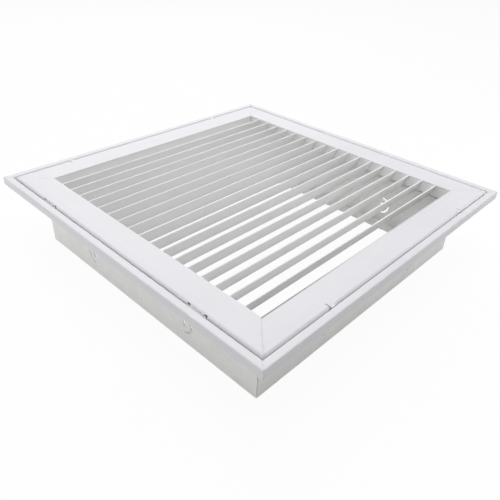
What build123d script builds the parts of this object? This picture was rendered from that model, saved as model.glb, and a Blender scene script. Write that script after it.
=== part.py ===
from build123d import *
import os
from math import cos, radians, sin

# Return air filter grille, lying on its neck with the face up.
# Millimetres, +Z up. The origin is the middle of the neck's lower end.

# Whole grille
face_height = 73.5  # lower end of the neck to the face
neck_side = 301.0  # outside of the sheet neck
flange_border = 28.0  # how far the flange stands out past the neck

# Flange extrusion: a lip round the door, a ledge under it and a leg down to the neck
lip_width = 7.1
lip_outer_round = 1.0
lip_inner_round = 1.6
flange_depth = 8.0
flange_wall = 1.4
ledge_drop = 3.4  # face to the ledge
flange_leg_drop = 32.0  # face to the lower end of the leg
flange_key_leg = 30.0
flange_key_depth = 5.0

# Sheet neck
neck_top_drop = 18.0  # face to the upper edge of the sheet
neck_sheet = 0.8
neck_bend = 0.6  # inside radius of the bend
filter_ledge = 15.0  # inward return that carries the filter
lap_tab_width = 12.0
lap_tab_margin = 4.0  # sheet left clear above and below a lap tab
neck_seam = 0.3  # open mitre at the neck's corners
filter_tab_setback = 83.5  # corner of the neck to the fold of a tab
filter_tab_height = 22.0
filter_tab_radius = 9.0
filter_tab_cut = 2.0
fold_slot_length = 6.4
fold_slot_width = 2.4

# Door extrusion: a flat rail with a short outer leg and a deeper inner leg
rail_overhang = 8.1  # how far the inner leg stands inside the neck
rail_wall = 1.2
rail_outer_drop = 2.4
rail_inner_drop = 12.2
rail_outer_round = 2.0
rail_inner_round = 0.8
hinge_gap = 1.8  # between door and lip on the left and right sides
side_gap = 1.2  # between door and lip at the front and back
mitre_gap = 0.06
rib_clearance = 0.7  # between the rail's rib and the leg of the flange
rib_wall = 1.0
channel_lip = 1.2
door_key_depth = 5.0
door_key_leg = 30.0
key_clearance = 0.1

# Fixed blades
blade_count = 17
blade_chord = 16.8
blade_tilt = 22.0  # lean from upright, lower edge towards the back
blade_body = 1.3
blade_nose = 1.6
blade_tail = 1.0
blade_drop = 0.4  # face to the blade's nose
tenon_start = 1.6  # along the chord
tenon_width = 6.2
tenon_clearance = 0.05

# Hinges, on the left side: a wire staple in the door turns in a knuckle on the frame
hinge_back_setback = 70.4  # inner corner of the lip to the middle of a hinge
hinge_front_setback = 65.0
hinge_drop = 1.75  # face to the hinge axis
knuckle_radius = 0.75
knuckle_length = 14.6
pin_radius = 0.4
pin_fit = 0.05
pin_bend = 0.6
pin_span = 18.2  # between the legs of the staple
pin_tail = 4.0  # clinched behind the rail's outer leg
pin_slot = 2.8
pin_slot_roof = 0.45  # left under the face above a slot
pin_slot_depth = 3.4
hinge_leaf_sheet = 0.6
hinge_foot = 11.0

# Detents, lanced in the front and back rails and pressed out towards the lip
detent_near_setback = 72.9  # inner corner of the lip to the slit
detent_far_setback = 61.4
detent_near_clearance = 0.15
detent_far_clearance = 0.8
detent_length = 4.8
detent_drop = 0.1
detent_slit = 0.8
detent_cut = 5.0

# Rivets and screw holes
rivet_radius = 1.2
rivet_head_radius = 2.2
rivet_head_height = 0.8
rivet_fit = 0.02
foot_rivet_spacing = 8.0
neck_rivet_setback = 60.5  # corner of the neck to a rivet
screw_hole_radius = 2.25
screw_setback = 41.4  # inner corner of the lip to a screw hole

# Sizes that follow
neck_outer = neck_side / 2
neck_inner = neck_outer - neck_sheet
lip_outer = neck_outer + flange_border
lip_inner = lip_outer - lip_width
leg_outer = neck_outer + flange_wall
ledge_middle = (leg_outer + lip_inner) / 2
door_half_x = lip_inner - hinge_gap
door_half_y = lip_inner - side_gap
opening_half_x = neck_outer - rail_overhang
rail_width = door_half_x - opening_half_x
opening_half_y = door_half_y - rail_width
channel_width = neck_outer - rib_clearance - rib_wall - rail_wall - opening_half_y
channel_floor = rail_wall + door_key_depth + key_clearance
door_key_width = channel_width - 2 * key_clearance
blade_pitch = 2 * opening_half_y / (blade_count + 1)
hinge_reach = lip_inner - hinge_gap / 2
hinge_rivet_reach = hinge_reach - hinge_foot / 2
neck_rivet_drop = (neck_top_drop + flange_leg_drop) / 2

sides = ("front", "right", "back", "left")
hinges = (hinge_back_setback - lip_inner, lip_inner - hinge_front_setback)
detents = {
    detent_near_setback - lip_inner: detent_near_clearance,
    lip_inner - detent_far_setback: detent_far_clearance,
}
door_reach = {"front": door_half_y, "right": door_half_x, "back": door_half_y, "left": door_half_x}
door_run = {"front": door_half_x, "right": door_half_y, "back": door_half_x, "left": door_half_y}


def outward(side):
    """Direction from the middle of the grille out through one side."""
    return Vector(1, 0, 0).rotate(Axis.Z, 90 * (sides.index(side) - 1))


def along(side):
    """Direction along one side, a quarter turn on from outwards."""
    return outward(side).rotate(Axis.Z, 90)


def section(side, station=0):
    """Plane across one side at a station: X outwards from the middle, Y up from the face."""
    origin = Vector(0, 0, face_height) + along(side) * station
    return Plane(origin=origin, x_dir=outward(side), z_dir=-along(side))


def plan(side, drop):
    """Level plane below the face: X along one side, Y inwards from the middle."""
    return Plane(origin=(0, 0, face_height - drop), x_dir=along(side), z_dir=(0, 0, 1))


def elevation(side, reach):
    """Upright plane on one side: X along it, Y up from the neck's lower end."""
    return Plane(origin=outward(side) * reach, x_dir=along(side), z_dir=outward(side))


def corner(index, half_x, half_y, drop):
    """Level plane with its origin at one outer corner and both axes pointing in along the sides."""
    sign_x = -1 if index in (0, 3) else 1
    sign_y = -1 if index in (0, 1) else 1
    origin = (sign_x * half_x, sign_y * half_y, face_height - drop)
    return Plane(origin=origin, x_dir=along(sides[index]), z_dir=(0, 0, 1))


def blade_plane(number):
    """Plane across one blade: X down its chord from the nose, Z along the blade."""
    lean = radians(blade_tilt)
    origin = (0, -opening_half_y + number * blade_pitch, face_height - blade_drop)
    return Plane(origin=origin, x_dir=(0, sin(lean), -cos(lean)), z_dir=(1, 0, 0))


def cut_mitres(side, reach, run, gap):
    """Cut both ends of the active length at 45 degrees, half the gap short of the corner."""
    for direction in (along(side), -along(side)):
        normal = (direction - outward(side)).normalized()
        tip = outward(side) * reach + direction * run
        split(bisect_by=Plane(origin=tip - normal * gap / 2, z_dir=normal), keep=Keep.BOTTOM)


def finish(part, name):
    """Name one piece and write it."""
    part.label = name
    export_step(part, f"parts/{name}.step")


def flange_rail(side):
    """One mitred length of the flange extrusion."""
    with BuildPart() as rail:
        with BuildSketch(section(side)) as profile:
            with BuildLine():
                Polyline(
                    (lip_inner, 0),
                    (lip_outer, 0),
                    (lip_outer, -flange_depth),
                    (lip_outer - flange_wall, -flange_depth),
                    (lip_outer - flange_wall, -flange_wall),
                    (lip_inner + flange_wall, -flange_wall),
                    (lip_inner + flange_wall, -flange_depth),
                    (lip_inner, -flange_depth),
                    (lip_inner, -ledge_drop - flange_wall),
                    (leg_outer, -ledge_drop - flange_wall),
                    (leg_outer, -flange_leg_drop),
                    (neck_outer, -flange_leg_drop),
                    (neck_outer, -ledge_drop),
                    (lip_inner, -ledge_drop),
                    close=True,
                )
            make_face()
            round_face_edges(profile, lip_inner_round, lip_outer_round)
        extrude(amount=lip_outer, both=True)
        cut_mitres(side, lip_outer, lip_outer, mitre_gap)
        # Holes for the rivets of the neck
        with BuildSketch(elevation(side, leg_outer)):
            with Locations(*neck_rivet_points()):
                Circle(rivet_radius + rivet_fit)
        extrude(amount=-flange_wall, mode=Mode.SUBTRACT)
        if side in ("front", "back"):
            # Fixing screws go through the ledge, under the door
            screw_station = lip_inner - screw_setback
            with BuildSketch(plan(side, ledge_drop)):
                with Locations((-screw_station, -ledge_middle), (screw_station, -ledge_middle)):
                    Circle(screw_hole_radius)
            extrude(amount=-flange_wall, mode=Mode.SUBTRACT)
        if side == "left":
            with BuildSketch(plan(side, ledge_drop)):
                with Locations(*hinge_rivet_points()):
                    Circle(rivet_radius + rivet_fit)
            extrude(amount=-flange_wall, mode=Mode.SUBTRACT)
    return rail.part


def round_face_edges(profile, inner_round, outer_round):
    """Round the two corners of a rail's profile that lie in the face."""
    fillet(profile.vertices().group_by(Axis.Y)[-1].sort_by(Axis.X)[0], inner_round)
    fillet(profile.vertices().group_by(Axis.Y)[-1].sort_by(Axis.X)[-1], outer_round)


def neck_rivet_points():
    """Rivets of one neck wall, on its upright plane."""
    station = neck_outer - neck_rivet_setback
    height = face_height - neck_rivet_drop
    return [(-station, height), (station, height)]


def hinge_rivet_points():
    """Two rivets in the foot of each hinge, on the left side's level plane."""
    offsets = (-foot_rivet_spacing / 2, foot_rivet_spacing / 2)
    return [(station + offset, -hinge_rivet_reach) for station in hinges for offset in offsets]


def flange_key(index):
    """L-shaped key in the lip's channel at one corner."""
    edge = flange_wall + key_clearance
    width = lip_width - 2 * edge
    with BuildPart() as key:
        with BuildSketch(corner(index, lip_outer, lip_outer, flange_wall)):
            with Locations((edge, edge)):
                Rectangle(flange_key_leg, width, align=(Align.MIN, Align.MIN))
                Rectangle(width, flange_key_leg, align=(Align.MIN, Align.MIN))
        extrude(amount=-flange_key_depth)
    return key.part


def neck_wall(side):
    """One wall of the sheet neck, folded in at the bottom to carry a filter."""
    with BuildPart() as wall:
        with BuildSketch(section(side)) as profile:
            with BuildLine():
                Polyline(
                    (neck_outer, -neck_top_drop),
                    (neck_outer, -face_height),
                    (neck_outer - filter_ledge, -face_height),
                    (neck_outer - filter_ledge, -face_height + neck_sheet),
                    (neck_inner, -face_height + neck_sheet),
                    (neck_inner, -neck_top_drop),
                    close=True,
                )
            make_face()
            outer_bend = profile.vertices().group_by(Axis.Y)[0].sort_by(Axis.X)[-1]
            fillet(outer_bend, neck_bend + neck_sheet)
            inner_bend = profile.vertices().sort_by_distance((neck_inner, -face_height + neck_sheet))[0]
            fillet(inner_bend, neck_bend)
        extrude(amount=neck_outer, both=True)
        cut_mitres(side, neck_outer, neck_outer, neck_seam)
        # Round tabs to press in over a filter: cut on the side of the nearer corner,
        # with a slot in the middle of the fold that makes it easy to bend
        cut_outer = filter_tab_radius + filter_tab_cut / 2
        cut_inner = filter_tab_radius - filter_tab_cut / 2
        with BuildSketch(elevation(side, neck_outer)):
            for direction in (-1, 1):
                fold = direction * (neck_outer - filter_tab_setback)
                with Locations((fold, filter_tab_height)):
                    Circle(cut_outer)
                    Circle(cut_inner, mode=Mode.SUBTRACT)
                with Locations((fold - direction * cut_outer / 2, filter_tab_height)):
                    Rectangle(cut_outer, 2 * cut_outer, mode=Mode.SUBTRACT)
                with Locations((fold, filter_tab_height)):
                    SlotOverall(fold_slot_length, fold_slot_width, rotation=90)
        extrude(amount=-neck_sheet, mode=Mode.SUBTRACT)
        with BuildSketch(elevation(side, neck_outer)):
            with Locations(*neck_rivet_points()):
                Circle(rivet_radius + rivet_fit)
        extrude(amount=-neck_sheet, mode=Mode.SUBTRACT)
        if side in ("left", "right"):
            # Tabs lap inside the front and back walls
            lap_height = face_height - neck_top_drop - 2 * lap_tab_margin
            tab_reach = neck_inner + neck_sheet / 2
            with BuildSketch(plan(side, neck_top_drop + lap_tab_margin)):
                for direction in (-1, 1):
                    tab_middle = direction * (neck_inner - neck_sheet / 2)
                    with Locations((tab_middle, -tab_reach)):
                        Rectangle(neck_sheet, lap_tab_width, align=(Align.CENTER, Align.MIN))
            extrude(amount=-lap_height)
    return wall.part


def door_rail(side):
    """One mitred length of the door extrusion, with a channel for the corner keys."""
    outer = door_reach[side]
    inner = outer - rail_width
    leg = outer - rail_wall
    web = inner + rail_wall
    rib = web + channel_width
    lip_top = -channel_floor
    lip_bottom = -channel_floor - rib_wall
    with BuildPart() as rail:
        with BuildSketch(section(side)) as profile:
            with BuildLine():
                Polyline(
                    (inner, 0),
                    (outer, 0),
                    (outer, -rail_outer_drop),
                    (leg, -rail_outer_drop),
                    (leg, -rail_wall),
                    (rib + rib_wall, -rail_wall),
                    (rib + rib_wall, lip_bottom),
                    (rib - channel_lip, lip_bottom),
                    (rib - channel_lip, lip_top),
                    (rib, lip_top),
                    (rib, -rail_wall),
                    (web, -rail_wall),
                    (web, lip_top),
                    (web + channel_lip, lip_top),
                    (web + channel_lip, lip_bottom),
                    (web, lip_bottom),
                    (web, -rail_inner_drop),
                    (inner, -rail_inner_drop),
                    close=True,
                )
            make_face()
            round_face_edges(profile, rail_inner_round, rail_outer_round)
        extrude(amount=door_run[side], both=True)
        cut_mitres(side, outer, door_run[side], mitre_gap)
        if side in ("left", "right"):
            # Slots in the inner leg for the blades' tenons
            with BuildSketch(*[blade_plane(number) for number in range(1, blade_count + 1)]):
                with Locations((tenon_start + tenon_width / 2, 0)):
                    Rectangle(tenon_width + 2 * tenon_clearance, blade_body + 2 * tenon_clearance)
            extrude(amount=opening_half_x + rail_wall, both=True, mode=Mode.SUBTRACT)
        if side == "left":
            # Slots in the outer edge for the legs of the hinge staples
            with BuildSketch(plan(side, pin_slot_roof)):
                for station in hinges:
                    with Locations((station - pin_span / 2, -outer), (station + pin_span / 2, -outer)):
                        Rectangle(pin_slot, pin_slot_depth, align=(Align.CENTER, Align.MIN))
            extrude(amount=pin_slot_roof - rail_outer_drop, mode=Mode.SUBTRACT)
        if side in ("front", "back"):
            for station, clearance in detents.items():
                # The tongue lies towards the middle of the rail from its slit
                towards_middle = -1 if station > 0 else 1
                middle = station + towards_middle * (detent_slit + detent_length) / 2
                crest = lip_inner - clearance
                with BuildSketch(plan(side, detent_drop)):
                    with Locations((middle, -crest)):
                        Rectangle(detent_length, crest - leg, align=(Align.CENTER, Align.MIN))
                extrude(amount=detent_drop - rail_outer_drop)
                with BuildSketch(plan(side, 0)):
                    with Locations((station, -outer)):
                        Rectangle(detent_slit, detent_cut, align=(Align.CENTER, Align.MIN))
                extrude(amount=-rail_outer_drop, mode=Mode.SUBTRACT)
    return rail.part


def door_key(index):
    """L-shaped key in the door rails' channels at one corner."""
    edge = rail_width - rail_wall - key_clearance - door_key_width
    with BuildPart() as key:
        with BuildSketch(corner(index, door_half_x, door_half_y, rail_wall)):
            with Locations((edge, edge)):
                Rectangle(door_key_leg, door_key_width, align=(Align.MIN, Align.MIN))
                Rectangle(door_key_width, door_key_leg, align=(Align.MIN, Align.MIN))
        extrude(amount=-door_key_depth)
    return key.part


def blade(number):
    """One slanted blade with a bull nose and a tenon at each end."""
    nose_radius = blade_nose / 2
    tail_radius = blade_tail / 2
    tail_middle = blade_chord - tail_radius
    with BuildPart() as slat:
        with BuildSketch(blade_plane(number)):
            with BuildLine():
                Polyline(
                    (nose_radius, -blade_body / 2),
                    (tail_middle, -tail_radius),
                    (tail_middle, tail_radius),
                    (nose_radius, blade_body / 2),
                    close=True,
                )
            make_face()
            with Locations((nose_radius, 0)):
                Circle(nose_radius)
            with Locations((tail_middle, 0)):
                Circle(tail_radius)
        extrude(amount=opening_half_x, both=True)
        with BuildSketch(blade_plane(number)):
            with Locations((tenon_start + tenon_width / 2, 0)):
                Rectangle(tenon_width, blade_body)
        extrude(amount=opening_half_x + rail_wall, both=True)
    return slat.part


def hinge_frame_leaf(station):
    """Folded leaf riveted to the ledge, curled at the top into the hinge's knuckle."""
    web_inner = hinge_reach - hinge_leaf_sheet / 2
    web_outer = hinge_reach + hinge_leaf_sheet / 2
    foot_top = hinge_leaf_sheet - ledge_drop
    with BuildPart() as leaf:
        with BuildSketch(section("left", station)):
            with BuildLine():
                Polyline(
                    (hinge_reach - hinge_foot, -ledge_drop),
                    (web_outer, -ledge_drop),
                    (web_outer, -hinge_drop),
                    (web_inner, -hinge_drop),
                    (web_inner, foot_top),
                    (hinge_reach - hinge_foot, foot_top),
                    close=True,
                )
            make_face()
            with Locations((hinge_reach, -hinge_drop)):
                Circle(knuckle_radius)
                Circle(pin_radius + pin_fit, mode=Mode.SUBTRACT)
        extrude(amount=knuckle_length / 2, both=True)
        with BuildSketch(plan("left", ledge_drop)):
            with Locations(*hinge_rivet_points()):
                Circle(rivet_radius + rivet_fit)
        extrude(amount=hinge_leaf_sheet, mode=Mode.SUBTRACT)
    return leaf.part


def hinge_pin(station):
    """Wire staple of one hinge: its legs go in at the door's edge and are clinched behind it."""
    back = station - pin_span / 2
    front = station + pin_span / 2
    tail_reach = door_half_x - rail_wall - 2 * pin_radius
    with BuildPart() as pin:
        with BuildLine(plan("left", hinge_drop)) as route:
            FilletPolyline(
                (back - pin_tail, -tail_reach),
                (back, -tail_reach),
                (back, -hinge_reach),
                (front, -hinge_reach),
                (front, -tail_reach),
                (front + pin_tail, -tail_reach),
                radius=pin_bend,
            )
        with BuildSketch(Plane(origin=route.wire() @ 0, z_dir=route.wire() % 0)):
            Circle(pin_radius)
        sweep(path=route.wire())
    return pin.part


def hinge_rivet_set():
    """Rivets that hold the hinge leaves to the ledge, flush underneath."""
    with BuildPart() as rivets:
        with BuildSketch(plan("left", ledge_drop + flange_wall)):
            with Locations(*hinge_rivet_points()):
                Circle(rivet_radius)
        extrude(amount=flange_wall + hinge_leaf_sheet)
        with BuildSketch(plan("left", ledge_drop - hinge_leaf_sheet)):
            with Locations(*hinge_rivet_points()):
                Circle(rivet_head_radius)
        extrude(amount=rivet_head_height, taper=30)
    return rivets.part


def neck_rivet_set():
    """Rivets through the neck sheet and the flange's leg, flush inside and headed outside."""
    with BuildPart() as rivets:
        for side in sides:
            with BuildSketch(elevation(side, neck_inner)):
                with Locations(*neck_rivet_points()):
                    Circle(rivet_radius)
            extrude(amount=neck_sheet + flange_wall)
            with BuildSketch(elevation(side, leg_outer)):
                with Locations(*neck_rivet_points()):
                    Circle(rivet_head_radius)
            extrude(amount=rivet_head_height, taper=30)
    return rivets.part


os.makedirs("parts", exist_ok=True)

corner_names = ("front_left", "front_right", "back_right", "back_left")
for side in sides:
    finish(flange_rail(side), f"flange_rail_{side}")
    finish(neck_wall(side), f"neck_wall_{side}")
    finish(door_rail(side), f"door_rail_{side}")
for index, name in enumerate(corner_names):
    finish(flange_key(index), f"flange_key_{name}")
    finish(door_key(index), f"door_key_{name}")
for number in range(1, blade_count + 1):
    finish(blade(number), f"blade_{number:02d}")
for number, station in enumerate(hinges, start=1):
    finish(hinge_frame_leaf(station), f"hinge_frame_leaf_{number}")
    finish(hinge_pin(station), f"hinge_pin_{number}")
finish(hinge_rivet_set(), "hinge_rivets")
finish(neck_rivet_set(), "neck_rivets")
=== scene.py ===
from math import radians

import bmesh
import bpy
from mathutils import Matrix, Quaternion, Vector


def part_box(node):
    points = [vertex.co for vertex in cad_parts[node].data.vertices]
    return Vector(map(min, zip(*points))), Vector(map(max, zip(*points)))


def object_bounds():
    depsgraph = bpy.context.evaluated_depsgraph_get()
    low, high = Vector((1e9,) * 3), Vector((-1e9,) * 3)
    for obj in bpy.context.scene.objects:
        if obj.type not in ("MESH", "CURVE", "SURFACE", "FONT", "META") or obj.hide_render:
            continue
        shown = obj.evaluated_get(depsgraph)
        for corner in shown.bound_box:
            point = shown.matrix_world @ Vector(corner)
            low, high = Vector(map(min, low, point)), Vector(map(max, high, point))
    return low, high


# Dresses the return air filter grille: powder coat on the flange, door and blades, bare galvanised
# sheet on the neck, mill-finish alloy and bright steel on the small fittings.
# Metres, in the model's own frame: +Z out of the duct, +X along the blades, +Y across them.

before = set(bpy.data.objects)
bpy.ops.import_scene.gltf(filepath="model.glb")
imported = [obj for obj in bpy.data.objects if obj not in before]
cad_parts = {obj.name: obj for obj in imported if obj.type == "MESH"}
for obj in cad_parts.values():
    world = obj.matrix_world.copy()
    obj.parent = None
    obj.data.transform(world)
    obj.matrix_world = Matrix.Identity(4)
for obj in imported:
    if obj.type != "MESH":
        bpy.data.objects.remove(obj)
cad_low, cad_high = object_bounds()

MM = 0.001
FACE = cad_high.z
LIP_HALF = cad_high.x
DOOR_HALF_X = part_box("door_rail_right")[1].x
DOOR_HALF_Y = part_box("door_rail_right")[1].y
RAIL_WIDTH = DOOR_HALF_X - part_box("door_rail_right")[0].x

# The camera of the photograph
CAMERA_PLACE = (-0.34925, -0.31959, 0.31256)
CAMERA_AIM = (-0.08903, -0.08009, 0.0735)
CAMERA_ROLL = 2.79
CAMERA_LENS = 37.163
SENSOR_WIDTH = 36.0
NEAREST_SEEN = 10 * MM

# The floor: half its side, its place under the neck, and how much of it is plain white to the eye.
# The rest of it takes the grille's shadow.
FLOOR_HALF = 4.0
FLOOR_DROP = 0.2 * MM
FLOOR_WHITE = 0.94

# Where most lamps point, and the way from there to the dim side of the room, along x and y
GRILLE_MIDDLE = (0, 0, 0.05)
DIM_SIDE_X = -0.35
DIM_SIDE_Y = -0.94


def rgb(red, green, blue):
    return (red, green, blue, 1.0)


# Tones: the darker and the lighter end of each finish's clouding, the marks on it, and painted light and
# shade
COAT_TONES = (rgb(0.757, 0.755, 0.793), rgb(0.802, 0.800, 0.838))
# Painted light: whiter coat under the face and whitest down the inner leg, lifting the shade there
COAT_PAINTED_LIGHT_RECESS = rgb(0.885, 0.885, 0.910)
COAT_PAINTED_LIGHT_INNER_LEG = rgb(0.950, 0.950, 0.955)
COAT_RUBBED = rgb(0.52, 0.52, 0.54)
# Painted shade: a thin dark line along the front rail's inner edge
EDGE_PAINTED_SHADE = rgb(0.22, 0.22, 0.22)
# Blades: white lifted as painted light, and grey painted shade further below the face
BLADE_TONES_WITH_PAINTED_LIGHT = (rgb(0.930, 0.930, 0.935), rgb(0.960, 0.960, 0.965))
BLADE_PAINTED_SHADE = rgb(0.68, 0.68, 0.67)
ZINC_TONES = (rgb(0.812, 0.808, 0.795), rgb(0.872, 0.868, 0.853))
ZINC_STAIN = rgb(0.72, 0.70, 0.66)
FOLD_MARKS = rgb(0.66, 0.64, 0.60)
ALLOY_TONES = (rgb(0.62, 0.62, 0.63), rgb(0.76, 0.76, 0.77))
STEEL_TONES = (rgb(0.50, 0.50, 0.51), rgb(0.66, 0.66, 0.67))
HINGE_TONES = (rgb(0.57, 0.57, 0.59), rgb(0.63, 0.63, 0.65))
HINGE_RUBBED = rgb(0.48, 0.48, 0.49)
FLOOR_PAPER = rgb(0.95, 0.95, 0.95)
ROOM_LIGHT = rgb(1.0, 0.995, 0.98)
PLAIN_WHITE = rgb(1.0, 1.0, 1.0)


class Field:
    """A number that changes over a surface: sums and products of these add Math nodes."""

    def __init__(self, finish, socket):
        self.finish = finish
        self.socket = socket

    def math(self, operation, *values):
        made = self.finish.node("Math", {"operation": operation}, dict(enumerate(values)))
        return Field(self.finish, made.outputs[0])

    def __add__(self, other):
        return self.math("ADD", self, other)

    __radd__ = __add__

    def __sub__(self, other):
        return self.math("SUBTRACT", self, other)

    def __rsub__(self, other):
        return self.math("SUBTRACT", other, self)

    def __mul__(self, other):
        return self.math("MULTIPLY", self, other)

    __rmul__ = __mul__

    def __abs__(self):
        return self.math("ABSOLUTE", self)

    def over(self, other):
        """The larger of two fields."""
        return self.math("MAXIMUM", self, other)

    def under(self, other):
        """The smaller of two fields."""
        return self.math("MINIMUM", self, other)

    def step(self, low, high):
        """0 below low, 1 above high, smooth between them."""
        limits = {"Value": self, "From Min": low, "From Max": high}
        made = self.finish.node("MapRange", {"interpolation_type": "SMOOTHSTEP"}, limits)
        return Field(self.finish, made.outputs[0])

    def spread(self):
        """The middle of a random field, stretched to reach from 0 to 1."""
        return self.step(0.3, 0.7)


class Finish:
    """The node tree of one material, on Object coordinates."""

    def __init__(self, name):
        self.material = bpy.data.materials.new(name)
        self.material.use_nodes = True
        self.tree = self.material.node_tree
        self.tree.nodes.clear()
        self.place = self.node("TexCoord").outputs["Object"]
        self.x, self.y, self.z = self.split(self.place)

    def node(self, kind, settings=None, inputs=None):
        """Add one node: its settings first, then the values or links of its sockets."""
        made = self.tree.nodes.new("ShaderNode" + kind)
        for key, value in (settings or {}).items():
            setattr(made, key, value)
        for key, value in (inputs or {}).items():
            value = value.socket if isinstance(value, Field) else value
            if isinstance(value, bpy.types.NodeSocket):
                self.tree.links.new(value, made.inputs[key])
            else:
                made.inputs[key].default_value = value
        return made

    def split(self, vector):
        """The x, y and z of a vector, as three fields."""
        return [Field(self, axis) for axis in self.node("SeparateXYZ", inputs={0: vector}).outputs]

    def noise(self, scale, detail=2.0, roughness=0.5, place=None):
        """Soft random field between 0 and 1, about 0.5 on average, with its scale in waves to a metre."""
        inputs = {
            "Vector": place or self.place,
            "Scale": scale,
            "Detail": detail,
            "Roughness": roughness,
        }
        return Field(self, self.node("TexNoise", inputs=inputs).outputs[0])

    def streaks(self, scales, detail, roughness):
        """Random field that is drawn out, with its own scale along each axis."""
        drawn = self.node("VectorMath", {"operation": "MULTIPLY"}, {0: self.place, 1: scales})
        return self.noise(1.0, detail, roughness, drawn.outputs[0])

    def cells(self, scale):
        """Random level of each crystal cell, between 0 and 1."""
        inputs = {"Vector": self.place, "Scale": scale}
        colour = self.node("TexVoronoi", inputs=inputs).outputs["Color"]
        return Field(self, self.node("SeparateColor", inputs={0: colour}).outputs[0])

    def blend(self, factor, first, second):
        """Colour between two colours."""
        inputs = {0: factor, 6: first, 7: second}
        return self.node("Mix", {"data_type": "RGBA"}, inputs).outputs[2]

    def mix(self, factor, first, second):
        """Shader between two shaders."""
        return self.node("MixShader", inputs={0: factor, 1: first.outputs[0], 2: second.outputs[0]})

    def bump(self, height, distance, strength, under=None):
        """Normal of a surface with this relief, on top of another relief's normal."""
        inputs = {"Height": height, "Distance": distance, "Strength": strength}
        if under is not None:
            inputs["Normal"] = under
        return self.node("Bump", inputs=inputs).outputs[0]

    def surface(self, **sockets):
        """Close the material with one Principled shader. Words in a socket's name are joined by _."""
        inputs = {key.replace("_", " "): value for key, value in sockets.items()}
        shader = self.node("BsdfPrincipled", inputs=inputs)
        self.node("OutputMaterial", inputs={0: shader.outputs[0]})
        return self.material


def drawn_along(run, slow, fast):
    """Scales of streaks that run along x or y."""
    return (slow, fast, fast) if run == "x" else (fast, slow, fast)


def powder_coat(name, run, half_x, half_y, shade_line_y=None):
    """White powder coat on a mitred extrusion that runs along x or y.

    Painted shade darkens a thin line along an edge given in y, just under the face, less so towards +x.
    """
    coat = Finish(name)
    die_lines = coat.streaks(drawn_along(run, slow=4.0, fast=260.0), detail=3.0, roughness=0.6)
    cloud = coat.noise(16.0, detail=3.0)
    peel = coat.noise(620.0, detail=2.0)
    grain = coat.noise(2400.0, detail=1.0)
    # Grey rubbed into the mitres, fading out within a few millimetres
    mitre = abs((abs(coat.x) - half_x) - (abs(coat.y) - half_y))
    patches = coat.noise(180.0, detail=4.0).step(0.35, 0.7)
    rubbed = (1 - mitre.step(0.3 * MM, 3.0 * MM)) * patches
    scuffs = coat.streaks((55.0, 48.0, 30.0), detail=5.0, roughness=0.7).step(0.66, 0.74)
    shade = cloud * 0.5 + die_lines * 0.3 + peel * 0.2
    clean = coat.blend(shade.spread(), *COAT_TONES)
    # Painted light: the coat is made whiter under the face, inside the lip, to lift the shade in the gap
    # and the recesses
    from_middle = abs(coat.x).over(abs(coat.y))
    inside = 1 - from_middle.step(DOOR_HALF_Y + 1.5 * MM, DOOR_HALF_Y + 2.0 * MM)
    painted_light_recess = (FACE - coat.z).step(0.5 * MM, 2.0 * MM) * inside
    clean = coat.blend(painted_light_recess, clean, COAT_PAINTED_LIGHT_RECESS)
    # and whitest down the inner leg, round the blades, more painted light to lift the shade there
    from_inner_edge = (abs(coat.x) - half_x).over(abs(coat.y) - half_y) + RAIL_WIDTH
    painted_light_inner_leg = painted_light_recess * (1 - from_inner_edge.step(1.5 * MM, 3.0 * MM))
    clean = coat.blend(painted_light_inner_leg, clean, COAT_PAINTED_LIGHT_INNER_LEG)
    worn = coat.blend((rubbed * 0.25 + scuffs * 0.08).under(0.4), clean, COAT_RUBBED)
    # Painted shade: a thin dark line just under the face along the given edge, fading towards +x
    if shade_line_y is not None:
        edge = 1 - abs(coat.y - shade_line_y).step(1.4 * MM, 2.0 * MM)
        near_face = (coat.z - FACE).step(-1.0 * MM, -0.5 * MM)
        fade = 1 - coat.x.step(-125 * MM, -20 * MM) * 0.8
        uneven = 0.7 + coat.noise(140.0, detail=3.0) * 0.5
        painted_edge_shade = edge * near_face * fade * uneven
        worn = coat.blend(painted_edge_shade.under(0.9), worn, EDGE_PAINTED_SHADE)
    sheen = 0.40 + cloud * 0.08 + rubbed * 0.12 + scuffs * 0.10
    relief = coat.bump(peel * 0.75 + grain * 0.25, distance=0.12 * MM, strength=0.35)
    relief = coat.bump(die_lines, distance=0.05 * MM, strength=0.25, under=relief)
    return coat.surface(Base_Color=worn, Roughness=sheen, Normal=relief,
                        Coat_Weight=0.08, Coat_Roughness=0.3)


def blade_coat(name):
    """Thinner white coat on the drawn blades, set whiter than the rails' coat as painted light, and
    greyer away from the nose as painted shade.
    """
    coat = Finish(name)
    streaks = coat.streaks(drawn_along("x", slow=5.0, fast=420.0), detail=3.0, roughness=0.6)
    cloud = coat.noise(24.0, detail=3.0)
    peel = coat.noise(760.0, detail=2.0)
    patches = coat.noise(90.0, detail=4.0).step(0.3, 0.75)
    # Painted shade: greyer the deeper below the face, uneven in patches
    painted_depth_shade = (FACE - coat.z).step(5.0 * MM, 20.0 * MM) * (0.6 + patches * 0.4)
    shade = streaks * 0.4 + cloud * 0.4 + peel * 0.2
    # The blades' white sits above the rails' coat: painted light that lifts their shade
    clean = coat.blend(shade.spread(), *BLADE_TONES_WITH_PAINTED_LIGHT)
    painted_shade_blade = coat.blend(painted_depth_shade * 0.4, clean, BLADE_PAINTED_SHADE)
    sheen = 0.42 + cloud * 0.08 + painted_depth_shade * 0.1
    relief = coat.bump(peel * 0.6 + streaks * 0.4, distance=0.10 * MM, strength=0.35)
    return coat.surface(Base_Color=painted_shade_blade, Roughness=sheen, Normal=relief,
                        Coat_Weight=0.06, Coat_Roughness=0.35)


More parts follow.
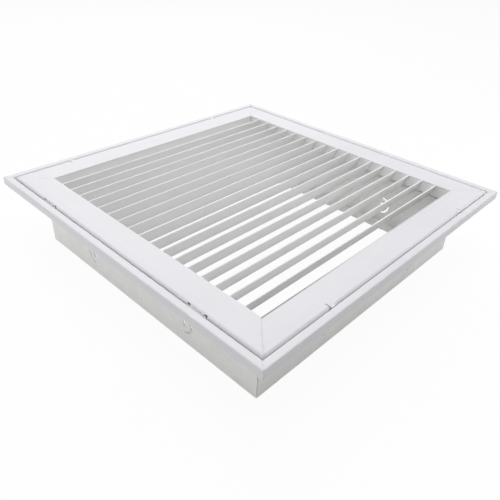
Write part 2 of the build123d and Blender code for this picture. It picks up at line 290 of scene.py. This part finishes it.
def galvanised(name, run):
    """Bare galvanised sheet of a neck wall: soft spangle, stains, and rolling streaks along x or y."""
    sheet = Finish(name)
    roll = sheet.streaks(drawn_along(run, slow=9.0, fast=160.0), detail=4.0, roughness=0.6)
    wobble = sheet.noise(70.0, detail=2.0)
    spangle = sheet.cells(125.0) * 0.6 + sheet.cells(310.0) * 0.4
    cloud = sheet.noise(13.0, detail=4.0, roughness=0.6)
    stain = sheet.noise(36.0, detail=5.0, roughness=0.65).step(0.52, 0.78)
    level = (spangle * 0.35 + roll * 0.25 + cloud * 0.40).step(0.25, 0.75)
    zinc = sheet.blend(level, *ZINC_TONES)
    stained = sheet.blend(stain * 0.2, zinc, ZINC_STAIN)
    # Handling marks along the fold at the lower end
    fold = (1 - sheet.z.step(1.0 * MM, 9.0 * MM)) * wobble.step(0.35, 0.65)
    marked = sheet.blend(fold * 0.2, stained, FOLD_MARKS)
    dull = 0.36 + spangle * 0.12 + stain * 0.12 + cloud * 0.06
    height = roll * 0.5 + spangle * 0.2 + wobble * 0.3
    relief = sheet.bump(height, distance=0.15 * MM, strength=0.3)
    return sheet.surface(Base_Color=marked, Roughness=dull, Metallic=0.2, Normal=relief)


def mill_alloy(name):
    """Sawn and drawn alloy of the corner keys and the rivets."""
    alloy = Finish(name)
    drawn = alloy.streaks((900.0, 900.0, 60.0), detail=3.0, roughness=0.6)
    cloud = alloy.noise(120.0, detail=3.0)
    level = drawn * 0.6 + cloud * 0.4
    tone = alloy.blend(level.spread(), *ALLOY_TONES)
    sheen = 0.34 + cloud * 0.16
    relief = alloy.bump(drawn, distance=0.05 * MM, strength=0.3)
    return alloy.surface(Base_Color=tone, Roughness=sheen, Metallic=1.0, Normal=relief)


def bright_steel(name):
    """Drawn steel wire of the hinge staples."""
    steel = Finish(name)
    drawn = steel.streaks((1500.0, 60.0, 1500.0), detail=3.0, roughness=0.65)
    cloud = steel.noise(150.0, detail=3.0)
    level = drawn * 0.7 + cloud * 0.3
    tone = steel.blend(level.spread(), *STEEL_TONES)
    sheen = 0.24 + cloud * 0.14
    relief = steel.bump(drawn, distance=0.04 * MM, strength=0.3)
    return steel.surface(Base_Color=tone, Roughness=sheen, Metallic=1.0, Normal=relief)


def hinge_coat(name):
    """Greyer coat on the hinge leaves, rubbed in small patches."""
    coat = Finish(name)
    cloud = coat.noise(60.0, detail=3.0)
    peel = coat.noise(700.0, detail=2.0)
    rubbed = coat.noise(420.0, detail=4.0).step(0.58, 0.72)
    clean = coat.blend(cloud.spread(), *HINGE_TONES)
    worn = coat.blend(rubbed * 0.3, clean, HINGE_RUBBED)
    sheen = 0.40 + cloud * 0.1
    relief = coat.bump(peel, distance=0.1 * MM, strength=0.3)
    return coat.surface(Base_Color=worn, Roughness=sheen, Normal=relief)


def dress(prefix, finish):
    """Give one finish to every node whose name starts with these words."""
    for name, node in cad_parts.items():
        if name.startswith(prefix):
            node.data.materials.clear()
            node.data.materials.append(finish)


flange_coat_x = powder_coat("flange_coat_along_x", "x", LIP_HALF, LIP_HALF)
flange_coat_y = powder_coat("flange_coat_along_y", "y", LIP_HALF, LIP_HALF)
door_coat_y = powder_coat("door_coat_along_y", "y", DOOR_HALF_X, DOOR_HALF_Y)
neck_zinc_x = galvanised("neck_zinc_along_x", "x")
neck_zinc_y = galvanised("neck_zinc_along_y", "y")
for side in ("front", "back"):
    dress("flange_rail_" + side, flange_coat_x)
    dress("neck_wall_" + side, neck_zinc_x)
for side in ("left", "right"):
    dress("flange_rail_" + side, flange_coat_y)
    dress("door_rail_" + side, door_coat_y)
    dress("neck_wall_" + side, neck_zinc_y)
# The front rail's inner edge, which gets a thin line of painted shade
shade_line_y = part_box("door_rail_front")[1].y
dress("door_rail_front", powder_coat("door_coat_front", "x", DOOR_HALF_X, DOOR_HALF_Y, shade_line_y))
dress("door_rail_back", powder_coat("door_coat_back", "x", DOOR_HALF_X, DOOR_HALF_Y))
dress("blade_", blade_coat("blade_coat"))
alloy = mill_alloy("mill_alloy")
for prefix in ("flange_key_", "door_key_", "neck_rivets", "hinge_rivets"):
    dress(prefix, alloy)
dress("hinge_pin_", bright_steel("bright_steel"))
dress("hinge_frame_leaf_", hinge_coat("hinge_leaf_coat"))


def seen_rays(finish):
    """1 for rays that show the background itself, to the eye or in a gloss, 0 for light."""
    path = finish.node("LightPath").outputs
    eye, gloss, through = [Field(finish, path[name]) for name in (
        "Is Camera Ray", "Is Glossy Ray", "Is Transmission Ray")]
    return eye.over(gloss).over(through)


def studio_floor():
    """Pale floor that shows almost white and keeps a faint shadow."""
    mesh = bpy.data.meshes.new("studio_floor")
    shape = bmesh.new()
    bmesh.ops.create_grid(shape, x_segments=1, y_segments=1, size=FLOOR_HALF)
    bmesh.ops.translate(shape, verts=shape.verts, vec=(0, 0, -FLOOR_DROP))
    shape.to_mesh(mesh)
    shape.free()
    floor = bpy.data.objects.new("studio_floor", mesh)
    bpy.context.scene.collection.objects.link(floor)
    paper = Finish("floor_paper")
    paint = paper.node("BsdfDiffuse", inputs={"Color": FLOOR_PAPER})
    white = paper.node("Emission", inputs={"Color": PLAIN_WHITE, "Strength": 1.0})
    mixed = paper.mix(seen_rays(paper) * FLOOR_WHITE, paint, white)
    paper.node("OutputMaterial", inputs={0: mixed.outputs[0]})
    mesh.materials.append(paper.material)


class Surroundings(Finish):
    """The node tree of the world round the grille, with x, y and z of the direction looked in."""

    def __init__(self, world):
        world.use_nodes = True
        self.tree = world.node_tree
        self.tree.nodes.clear()
        self.x, self.y, self.z = self.split(self.node("TexCoord").outputs["Generated"])

    def light(self, colour, strength):
        """Light of one colour from all round."""
        return self.node("Background", inputs={"Color": colour, "Strength": strength})


def studio_world(strength, dim_strength):
    """Even light from all round, dimmer from low down in front, on the photographer's side."""
    world = bpy.data.worlds.new("studio_world")
    bpy.context.scene.world = world
    room = Surroundings(world)
    in_front = (room.x * DIM_SIDE_X + room.y * DIM_SIDE_Y).step(-0.1, 0.6)
    low_down = 1 - room.z.step(0.45, 0.8)
    even = room.light(ROOM_LIGHT, strength)
    dim = room.light(ROOM_LIGHT, dim_strength)
    white = room.light(PLAIN_WHITE, 1.0)
    mixed = room.mix(seen_rays(room), room.mix(in_front * low_down, even, dim), white)
    room.node("OutputWorld", inputs={0: mixed.outputs[0]})


def soft_box(name, place, aim, size, power):
    """Square area lamp that faces a point."""
    lamp = bpy.data.lights.new(name, "AREA")
    lamp.size = size
    lamp.energy = power
    holder = bpy.data.objects.new(name, lamp)
    holder.location = place
    holder.rotation_mode = "QUATERNION"
    holder.rotation_quaternion = (Vector(aim) - Vector(place)).to_track_quat("-Z", "Y")
    bpy.context.scene.collection.objects.link(holder)


def photo_camera():
    """The photograph's camera, turned a little about its own axis."""
    lens = bpy.data.cameras.new("photo_camera")
    lens.lens = CAMERA_LENS
    lens.sensor_width = SENSOR_WIDTH
    lens.clip_start = NEAREST_SEEN
    camera = bpy.data.objects.new("photo_camera", lens)
    ahead = Vector(CAMERA_AIM) - Vector(CAMERA_PLACE)
    camera.location = CAMERA_PLACE
    camera.rotation_mode = "QUATERNION"
    roll = Quaternion((0, 0, 1), radians(CAMERA_ROLL))
    camera.rotation_quaternion = ahead.to_track_quat("-Z", "Y") @ roll
    bpy.context.scene.collection.objects.link(camera)
    bpy.context.scene.camera = camera


studio_floor()
studio_world(strength=0.49, dim_strength=0.0)
soft_box("overhead_lamp", place=(-0.1, -0.1, 1.35), aim=GRILLE_MIDDLE, size=0.8, power=6.4)
soft_box("back_lamp", place=(0.6, 0.9, 1.0), aim=GRILLE_MIDDLE, size=1.2, power=5.8)
soft_box("left_lamp", place=(-0.9, 0.7, 0.3), aim=(-0.1, 0.15, 0.05), size=0.6, power=2.1)
soft_box("right_lamp", place=(0.52, -0.42, 0.24), aim=(0.15, -0.1, 0.05), size=0.4, power=0.75)
photo_camera()
bpy.context.scene.view_settings.view_transform = "Standard"
